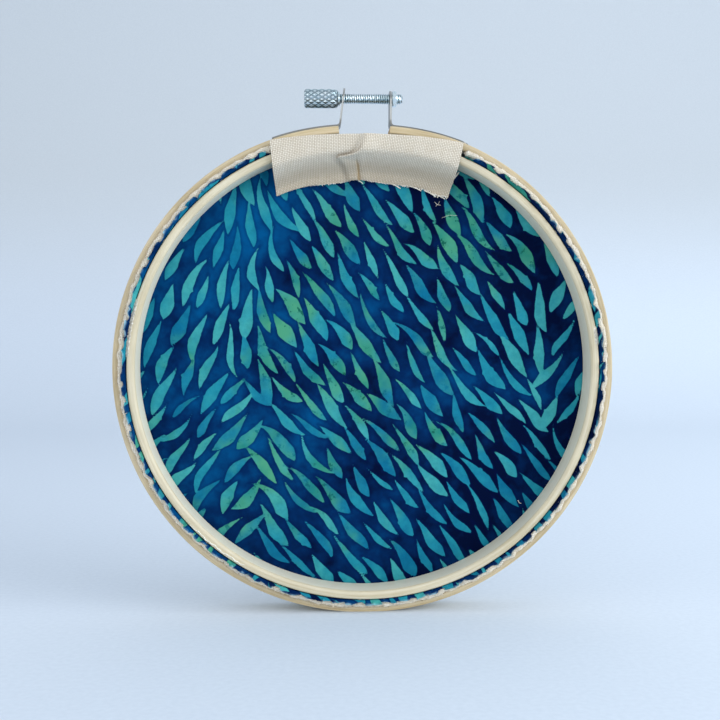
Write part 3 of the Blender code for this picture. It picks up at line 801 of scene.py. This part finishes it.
def flap_folds(s, t):
    """The lift in mm, the stained line plus painted shade on the flap's lower part, and painted shade
    along the crease, for the flap's tuck and the fold below it.
    """
    across, down = s * FLAP_WIDTH, t * FLAP_LENGTH
    tuck = smooth_line(np.array(TUCK_LINE) * (FLAP_LENGTH, FLAP_WIDTH), 420)
    off = np.zeros((len(t), len(s)))
    for k in range(len(t)):
        away = np.hypot(across[:, None] - tuck[None, :, 1], down[k] - tuck[None, :, 0]).min(axis=1)
        off[k] = away * np.where(across > np.interp(down[k], tuck[:, 0], tuck[:, 1]), 1, -1)
    t = t[:, None]
    fade = np.sin(math.pi * np.clip(t * 0.9 + 0.12, 0, 1)) ** 0.7
    sharp = np.interp(t, (0, 0.2, 0.3, 0.46, 0.55, 1.0), (1.0, 0.7, 0.22, 0.12, 0.6, 0.7))
    rise = 1 / (1 + np.exp(-np.clip(off / sharp, -30, 30)))
    lift = 1.7 * rise * np.exp(-(np.clip(off - 0.3, 0, None) / 3.2) ** 1.4) * fade
    lift -= 0.45 * np.exp(-((off + 0.9) / 0.9) ** 2) * fade
    beside = (s - np.interp(t, *np.array(STAIN_LINE).T)) * FLAP_WIDTH
    low_part = np.clip((t - 0.46) * 6, 0, 1)
    lift -= 0.45 * np.exp(-(beside / 0.55) ** 2) * low_part
    lift += 0.30 * np.exp(-((beside - 1.6) / 1.2) ** 2) * low_part
    lift += 0.16 * np.sin(s * 9.3 + 1.0) * np.sin(t * 3.1 + 0.4)
    # Painted shade along the tuck's crease, sharp above and soft below.
    crease = 0.75 * np.exp(-(off / 0.17) ** 2) * np.clip(1.2 - sharp * 2.4, 0, 1)
    crease += 0.3 * np.exp(-(off / 0.6) ** 2) * np.clip((t - 0.46) * 8, 0, 1)
    stain_and_painted_shade = 0.6 * np.exp(-(beside / 0.42) ** 2) * low_part
    # Painted shade: the flap's lower part, deeper in the recess, darker and warmer.
    stain_and_painted_shade += 0.32 * np.clip((t - 0.5) * 5, 0, 1)
    return lift, stain_and_painted_shade, crease


def make_flap():
    """The flap with each yarn modelled, bent over the inner ring and down into the recess."""
    rng = np.random.default_rng(71)
    columns, rows = FLAP_ACROSS * YARN_POINTS + 1, FLAP_DOWN * YARN_POINTS + 1
    s = np.linspace(0, 1, columns)
    t = np.linspace(0, 1, rows)
    places = flap_sheet(s, t, rng)
    lift, stain_and_painted_shade, crease = flap_folds(s, t)
    places[..., 1] -= lift
    places = places * MM + np.array((0, BACK, CENTRE_Z))
    normal = unit(np.cross(np.gradient(places, axis=1), np.gradient(places, axis=0)))
    if normal[rows // 3, columns // 2, 1] > 0:
        normal = -normal
    yarn_u = s * FLAP_ACROSS
    yarn_v = (t * FLAP_DOWN)[:, None]
    sign = np.where((np.floor(yarn_u) + np.floor(yarn_v)) % 2 == 0, 1.0, -1.0)
    round_u = np.abs(np.sin(math.pi * yarn_u))
    round_v = np.abs(np.sin(math.pi * yarn_v))
    height = np.maximum(round_u * (0.58 + 0.42 * sign * round_v),
                        round_v * (0.46 - 0.34 * sign * round_u))
    slack = 1 + 0.075 * rng.normal(0, 1, (1, columns))
    places = places + normal * (0.17 * MM * height * slack)[..., None]
    below = places - normal * 0.38 * MM
    rim = below[-1] + (places[-1] - places[-2]) * 0.3
    points = np.concatenate((places.reshape(-1, 3), rim, below[:, 0], below[:, -1]))
    total = rows * columns
    low = total - columns
    faces = grid(rows, columns).tolist()
    faces += [[low + k, low + k + 1, total + k + 1, total + k] for k in range(columns - 1)]
    for side, start in ((0, total + columns), (columns - 1, total + columns + rows)):
        faces += [[k * columns + side, (k + 1) * columns + side, start + k + 1, start + k]
                  for k in range(rows - 1)]

    def with_edges(values, at_edges):
        """Values over the sheet, then one value for the points of its turned edges."""
        return np.append(np.broadcast_to(values, height.shape),
                         np.full(len(points) - total, at_edges))

    flat = np.stack(np.broadcast_arrays(yarn_u * YARN, yarn_v * YARN), axis=-1).reshape(-1, 2)
    flat = np.concatenate((flat, flat[low:], flat[::columns], flat[columns - 1::columns]))
    # The yarns' height also paints shade into the flap's colour: darker hollows, lighter crests.
    flap = make_piece(
        "canvas_flap", points, faces, flap_cotton(), flat,
        {"height": with_edges(height, 0.5), "stain_and_painted_shade": with_edges(stain_and_painted_shade, 0),
         "crease": with_edges(crease, 0)})
    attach(flap, "hoop")
    return places


# Yarns loose at the flap's cut edge, and fibres that lie on the lining below it:
# three points across the hoop and over its centre, radius, and depth from the back face, in mm
LOOSE_POINTS = 9
LOOSE_YARNS = (
    ((7.6, 50.4), (8.9, 49.8), (10.1, 49.1), 0.16, 8.4),
    ((9.9, 50.2), (10.6, 49.9), (11.3, 49.6), 0.13, 8.4),
    ((12.6, 49.8), (14.3, 49.2), (15.8, 48.5), 0.17, 8.4),
    ((16.7, 48.6), (18.3, 47.8), (19.9, 46.9), 0.17, 8.4),
    ((19.4, 47.5), (20.9, 47.0), (22.4, 46.3), 0.15, 8.4),
    ((26.2, 53.6), (25.2, 52.4), (24.1, 51.0), 0.22, 8.4),
    ((24.6, 51.0), (23.6, 49.0), (22.4, 46.8), 0.15, 8.4),
    ((-1.5, 51.2), (-0.9, 50.9), (-0.2, 50.4), 0.12, 8.4),
    ((21.6, 41.2), (23.6, 41.9), (25.8, 41.9), 0.035, 9.2),
    ((19.6, 45.6), (20.3, 44.9), (21.3, 44.7), 0.05, 9.2),
    ((19.9, 44.4), (20.6, 45.0), (21.0, 45.8), 0.04, 9.2),
    ((43.2, -37.2), (43.6, -37.9), (44.1, -38.1), 0.09, 9.2),
)


def make_loose_yarns(places):
    """Yarn ends along the flap's cut edge, and the few long ones that hang off its right half."""
    rng = np.random.default_rng(77)
    pale = thread_cotton("loose_cotton", srgb(214, 203, 184), srgb(246, 240, 228))
    picks = np.arange(2, places.shape[1] - 2, YARN_POINTS)
    start = places[-3, picks]
    way = unit(places[-1, picks] - places[-4, picks])
    way = way + rng.normal(0, 0.16, way.shape)
    ragged = np.interp(start[:, 0] / MM, (-24, 4, 14, 24), (0.5, 0.6, 1.0, 1.2))
    length = rng.uniform(0.25, 0.7, len(picks)) * ragged * MM
    run = np.linspace(0, 1, 5)
    paths = start[:, None] + way[:, None] * (run[None, :, None] * length[:, None, None])
    paths[..., 1] = np.minimum(paths[..., 1], FRONT - 0.05 * MM)
    radii = np.full(paths.shape[:2], 0.15 * MM) * (1 - 0.35 * run ** 2)
    points, faces = tube_mesh(paths, radii, 5)
    lines, sizes = [], []
    bow = np.sin(np.linspace(0, math.pi, LOOSE_POINTS))
    for a, b, c, thick, level in LOOSE_YARNS:
        x, z = smooth_line((a, b, c), LOOSE_POINTS).T
        deep = level - 3 * thick * bow + rng.normal(0, 0.3 * thick, LOOSE_POINTS)
        lines.append(np.stack((x, BACK / MM + deep, CENTRE_Z / MM + z), axis=1) * MM)
        sizes.append(np.full(LOOSE_POINTS, thick * MM))
    more, more_faces = tube_mesh(np.array(lines), np.array(sizes), 6)
    faces += [[k + len(points) for k in face] for face in more_faces]
    yarns = make_piece("loose_yarns", np.concatenate((points, more)), faces, pale)
    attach(yarns, "hoop")


def dried_glue(name, low, high, roughness):
    """Dried glue, as a crust or a bead."""
    s = Shader(name, Roughness=roughness, IOR=1.46, Coat_Weight=0.2)
    crust = s.noise(s.place(), 1800.0, 4.0, 0.65)
    colour = s.ramp(crust, (0.35, low), (0.65, high))
    return s.paint(colour, Normal=s.bump(crust, 0.7, 0.1 * MM))


def make_smear(name, start, end, inner, outer, height, seed, material):
    """A thin uneven crust on the inner ring's back face, sunk into the wood at its edges."""
    rng = np.random.default_rng(seed)
    rows, columns = 18, 90
    t = np.linspace(0, 1, rows)[:, None]
    u = np.linspace(0, 1, columns)[None]
    lumps = np.zeros((rows, columns))
    waves_in_all = 14
    for _ in range(waves_in_all):
        a, b = rng.uniform(2, 22), rng.uniform(1, 7)
        lumps += np.sin(TAU * (a * u + b * t) + rng.uniform(0, TAU)) / waves_in_all ** 0.5
    window = np.sin(math.pi * t) ** 0.6 * np.sin(math.pi * u) ** 0.5
    lift = height * (window * (0.62 + 0.55 * lumps) - 0.22)
    lift = np.maximum(lift, -0.06)
    turn = np.radians(start + (end - start) * u)
    radius = (inner + (outer - inner) * t + 0.12 * lumps) * MM
    over = np.clip((radius / MM - 63.0) / 0.4, 0, 1) * 0.35
    depth = BACK - (lift - over) * MM
    piece = make_piece(name, on_hoop(turn, radius, depth), grid(rows, columns).tolist(), material)
    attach(piece, "hoop")


def make_glue():
    crust = dried_glue("glue_crust", srgb(178, 168, 148), srgb(232, 226, 212), 0.7)
    make_smear("glue_left", 273.0, 287.5, 62.7, 63.75, 0.32, 81, crust)
    make_smear("glue_right", 79.5, 84.0, 62.5, 63.6, 0.3, 82, crust)
    clear = dried_glue("glue_clear", srgb(222, 216, 198), srgb(240, 235, 222), 0.14)
    share = np.linspace(0, 1, 90)
    turn = np.radians(228.0 - 17.0 * share)
    radius = (62.95 + 0.16 * np.sin(share * 23) + 0.10 * np.sin(share * 61 + 1) - 0.35 * share) * MM
    line = on_hoop(turn, radius, BACK - 0.02 * MM)
    thick = (0.16 + 0.05 * np.sin(share * 47) + 0.12 * np.exp(-((share - 0.88) / 0.08) ** 2)) * MM
    thick = thick * np.sin(math.pi * share) ** 0.3
    string = make_piece("glue_string", *tube_mesh(line[None], thick[None], 10), clear)
    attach(string, "hoop")


# The straps, in mm: lift of their middle off the outer ring, radius of the bend, half the width,
# thickness, bevel, and radius of the ear's corners
STRAP_LIFT = 0.40
STRAP_BEND = 1.1
STRAP_HALF = 3.5
STRAP_THICK = 0.5
STRAP_BEVEL = 0.09
EAR_ROUND = 2.6


def strap_line(side, foot_end, ear_x, ear_top):
    """Middle line of a strap, from its foot's end along the ring, round the bend and up the ear."""
    middle = OUTER_OUT / MM + STRAP_LIFT
    start = math.asin((ear_x + side * STRAP_BEND) / middle)
    turns = np.linspace(math.radians(foot_end), start, 22)
    foot = on_hoop(turns, middle * MM, 0.0)[:, [0, 2]] / MM - (0, CENTRE_Z / MM)
    rise = np.radians((18, 36, 54, 72, 90))
    bend = foot[-1] + STRAP_BEND * np.stack((-side * np.sin(rise), 1 - np.cos(rise)), axis=1)
    ear = np.linspace(bend[-1], ear_top, 15)[1:]
    return np.concatenate((foot, bend, ear))


def cut_hole(piece, place, radius):
    """Cut a round hole along X through a piece."""
    mesh = bpy.data.meshes.new(piece.name + "_hole")
    bm = bmesh.new()
    bmesh.ops.create_cone(
        bm, cap_ends=True, segments=48, radius1=radius, radius2=radius, depth=4 * MM)
    bm.to_mesh(mesh)
    bm.free()
    cutter = bpy.data.objects.new(mesh.name, mesh)
    cutter.rotation_euler = (0, math.pi / 2, 0)
    cutter.location = place
    bpy.context.scene.collection.objects.link(cutter)
    hole = piece.modifiers.new("hole", "BOOLEAN")
    hole.operation = "DIFFERENCE"
    hole.object = cutter
    hole.solver = "EXACT"
    bpy.context.view_layer.update()
    cut = piece.evaluated_get(bpy.context.evaluated_depsgraph_get())
    piece.data = bpy.data.meshes.new_from_object(cut)
    piece.modifiers.clear()
    bpy.data.objects.remove(cutter, do_unlink=True)


def make_strap(name, line, foot_round, material):
    """A sheet metal strap with rounded edges, a round-cornered ear and a hole for the rod."""
    line = smooth_line(line, 130)
    run = distances(line)
    end = np.clip(1 - (run[-1] - run) / EAR_ROUND, 0, 0.995)
    start = np.clip(1 - run / foot_round, 0, 0.995)
    width = STRAP_HALF - EAR_ROUND * (1 - np.sqrt(1 - end ** 2))
    width -= foot_round * (1 - np.sqrt(1 - start ** 2))
    along = unit(np.gradient(line, axis=0))
    outline = []
    for w, h in ((1, 1), (-1, 1), (-1, -1), (1, -1)):
        first, second = ((0, 1), (1, 0)) if w * h > 0 else ((1, 0), (0, 1))
        for a, b in (first, (0.3, 0.3), second):
            outline.append((w, w * -STRAP_BEVEL * a, h * (STRAP_THICK / 2 - STRAP_BEVEL * b)))
    sides = len(outline)
    points = np.zeros((len(line), sides, 3))
    for k, (w, inset, h) in enumerate(outline):
        points[:, k, 0] = line[:, 0] - along[:, 1] * h
        points[:, k, 1] = w * width + inset
        points[:, k, 2] = line[:, 1] + along[:, 0] * h
    points = points * MM + np.array((0, MIDDLE, CENTRE_Z))
    # The strap is darker all over, and more so where it lies on the outer ring.
    on_ring = np.clip((OUTER_OUT / MM + 1.4 - np.hypot(line[:, 0], line[:, 1] / OVAL)) / 0.8, 0, 1)
    strap_darkening = np.repeat(0.3 + 0.5 * on_ring, sides)
    strap = make_piece(name, points, tube_faces(len(line), sides), material,
                       values={"groove": strap_darkening}, closed=True)
    cut_hole(strap, (line[-1, 0] * MM, MIDDLE, ROD_Z), 1.62 * MM)
    strap.data.shade_smooth()
    strap.data.set_sharp_from_angle(angle=math.radians(40))
    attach(strap, "hoop")
    return strap


# The screw and the nut, in mm but for the rod's height: places along X and radii from the axis
SCREW_LOW, SCREW_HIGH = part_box("screw")
ROD_Z = (SCREW_LOW.z + SCREW_HIGH.z) / 2
ROD_RADIUS = 1.4
ROD_END = SCREW_HIGH.x / MM
THREAD_PITCH = 0.60
THREAD_DEPTH = 0.26
KNOB_START = SCREW_LOW.x / MM
KNOB_END = -6.55
KNOB_SHAPE = (
    (KNOB_START, 2.1), (KNOB_START + 0.12, 2.34), (KNOB_START + 0.4, 2.58), (KNOB_END - 1.7, 2.58),
    (KNOB_END - 0.9, 2.42), (KNOB_END - 0.5, 2.05), (KNOB_END - 0.3, 1.6),
)
KNURL_STARTS = 12
KNURL_DEPTH = 0.26
NUT_HALF = 1.95


def turned(name, x, radius, material, body, groove=0.0):
    """A piece turned about the rod's axis, from places along it and a radius by place and turn."""
    sides = radius.shape[1]
    turn = np.arange(sides) * TAU / sides
    points = np.stack(np.broadcast_arrays(
        x[:, None], radius * np.cos(turn), radius * np.sin(turn)), axis=-1)
    points = points * MM + np.array((0, MIDDLE, ROD_Z))
    # How much painted shade each point gets in its grooves.
    depth = np.broadcast_to(groove, radius.shape)
    piece = make_piece(name, points, tube_faces(len(x), sides), material,
                       values={"groove": depth}, closed=True)
    piece.data.set_sharp_from_angle(angle=math.radians(38))
    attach(piece, body)
    return piece


def make_screw(material):
    x = np.linspace(KNOB_END - 0.6, ROD_END, 190)
    turn = np.arange(36) / 36
    wave = np.abs((x[:, None] / THREAD_PITCH - turn) % 1.0 - 0.5) * 2
    end = np.clip((ROD_END - x) / 0.5, 0, 1)[:, None]
    radius = ROD_RADIUS - THREAD_DEPTH * wave - 0.5 * (1 - end)
    # Painted shade in the grooves between the rod's turns.
    rod = turned("screw_rod", x, radius, material, "thumb_screw", 0.85 * wave ** 1.5)
    x = np.linspace(KNOB_START, KNOB_END - 0.3, 96)
    lead = KNURL_STARTS * np.arange(168) / 168
    run = (x[:, None] - KNOB_START) / 1.9
    ridges = [np.abs((lead + way) % 1.0 - 0.5) * 2 for way in (run, -run)]
    groove = np.clip(1 - np.minimum(*ridges), 0, 1) ** 1.5
    shape = np.interp(x, *np.array(KNOB_SHAPE).T)[:, None]
    radius = shape - KNURL_DEPTH * groove * np.clip((shape - 1.9) / 0.5, 0, 1)
    # Painted shade in the knurl's grooves.
    turned("screw_knob", x, radius, material, "thumb_screw", 0.8 * groove)
    x = np.array((KNOB_END - 0.45, KNOB_END - 0.4, KNOB_END - 0.06, KNOB_END))
    radius = np.tile(((1.8,), (1.88,), (1.88,), (1.8,)), 48)
    turned("screw_collar", x, radius, material, "thumb_screw")
    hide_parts("screw")


def make_nut(material):
    low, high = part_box("nut")
    x = np.linspace(low.x / MM, high.x / MM, 9)
    turn = np.arange(96) * TAU / 96
    flats = NUT_HALF / np.cos((turn % (math.pi / 3)) - math.pi / 6)
    cone = 1.9 + 1.2 * np.minimum(x - x[0], x[-1] - x)
    nut = turned("rod_nut", x, np.minimum(flats, cone[:, None]), material, "hoop")
    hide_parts("nut")


def make_clasp():
    steel = plated_steel(
        "plated_steel_strap", 0.26, srgb(168, 170, 168), srgb(200, 200, 196), srgb(96, 95, 90))
    turned_steel = plated_steel(
        "plated_steel_turned", 0.16, srgb(186, 210, 218), srgb(236, 243, 245), srgb(46, 84, 98))
    left = make_strap("clasp_strap_left", strap_line(-1, -21.4, -6.45, (-5.3, 75.4)), 0.6, steel)
    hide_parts("clasp_left")
    right = make_strap("clasp_strap_right", strap_line(1, 24.6, 7.05, (7.07, 74.75)), 2.2, steel)
    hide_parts("clasp_right")
    make_screw(turned_steel)
    make_nut(turned_steel)


# The camera: its distance in metres, its direction, and its scale and aim in pixels of the photo
CAMERA_DISTANCE = 0.275
CAMERA_AZIMUTH = math.radians(-2.3)
CAMERA_ELEVATION = math.radians(2.3)
PIXELS_PER_M = 3740.0
AIM_LEFT = 4.9 / PIXELS_PER_M
AIM_UP = 9.1 / PIXELS_PER_M
HALF_PICTURE = 360
CAMERA_ANGLE = 2 * math.atan(HALF_PICTURE / (PIXELS_PER_M * CAMERA_DISTANCE))


def make_stage():
    """A pale paper sweep: floor, curve and back wall in one, with painted light that makes it lighter
    towards the right and painted shade that makes it greyer up the back wall.
    """
    s = Shader("stage_paper", Roughness=0.95)
    where = s.place()
    grain = s.noise(where, 700.0, 2.0)
    split = s.add("SeparateXYZ", {0: where}).outputs
    # Painted light: the paper lighter towards the right, where the key light stands.
    paper = s.mix(s.between(split[0], -0.25, 0.25), srgb(214, 223, 234), srgb(226, 236, 247))
    # Painted shade: the paper greyer and darker up the back wall.
    paper = s.mix(s.between(split[2], 0.04, 0.26), paper, srgb(204, 210, 215))
    paper = s.shaded(paper, grain, 0.3, 0.7, (0.95, 0.955, 0.96))
    material = s.paint(paper, Normal=s.bump(grain, 0.08, 0.1 * MM))
    profile = [(-0.9, 0.0), (0.45, 0.0)]
    for step in range(1, 25):
        turn = math.radians(90 * step / 24)
        profile.append((0.45 + 0.5 * math.sin(turn), 0.5 * (1 - math.cos(turn))))
    profile.append((0.95, 2.2))
    points = np.array([[(x, y, z) for x in (-8.0, 8.0)] for y, z in profile])
    floor = make_piece("stage_floor", points, grid(len(profile), 2).tolist(), material)


def add_light(name, place, target, size, power, colour):
    data = bpy.data.lights.new(name, "AREA")
    data.shape = "DISK"
    data.size = size
    data.energy = power
    data.color = colour
    light = bpy.data.objects.new(name, data)
    light.location = place
    light.rotation_euler = (Vector(target) - Vector(place)).to_track_quat("-Z", "Y").to_euler()
    bpy.context.scene.collection.objects.link(light)


def make_lights():
    world = bpy.data.worlds.new("pale_room")
    bpy.context.scene.world = world
    world.use_nodes = True
    back = world.node_tree.nodes["Background"]
    back.inputs["Color"].default_value = (0.70, 0.78, 0.88, 1.0)
    back.inputs["Strength"].default_value = 0.86
    middle = (0, 0, 0.06)
    add_light("key", (1.02, -0.48, 0.40), middle, 1.0, 11.0, (0.96, 0.98, 1.0))
    add_light("front", (-0.25, -1.1, 0.14), middle, 0.9, 3.4, (1.0, 0.99, 0.97))
    add_light("left", (-0.9, -0.35, 0.5), middle, 1.0, 2.2, (1.0, 0.96, 0.90))
    add_light("top", (0.1, 0.25, 1.1), middle, 1.2, 1.2, (0.95, 0.98, 1.0))


def make_camera():
    side, rise = math.sin(CAMERA_AZIMUTH), math.sin(CAMERA_ELEVATION)
    level = math.cos(CAMERA_ELEVATION)
    back = Vector((side * level, -math.cos(CAMERA_AZIMUTH) * level, rise))
    right = Vector((math.cos(CAMERA_AZIMUTH), side, 0))
    up = back.cross(right)
    aim = Vector((0, BACK, CENTRE_Z)) - right * AIM_LEFT + up * AIM_UP
    data = bpy.data.cameras.new("camera")
    data.sensor_fit = "AUTO"
    data.angle = CAMERA_ANGLE
    data.clip_start = 0.01
    camera = bpy.data.objects.new("camera", data)
    camera.location = aim + back * CAMERA_DISTANCE
    camera.rotation_euler = back.to_track_quat("Z", "Y").to_euler()
    bpy.context.scene.collection.objects.link(camera)
    bpy.context.scene.camera = camera


def main():
    bpy.context.scene.view_settings.view_transform = "Standard"
    make_camera()
    make_stage()
    make_lights()
    make_rings()
    make_lining()
    make_fluff(*make_canvas())
    make_loose_yarns(make_flap())
    make_glue()
    make_clasp()


main()
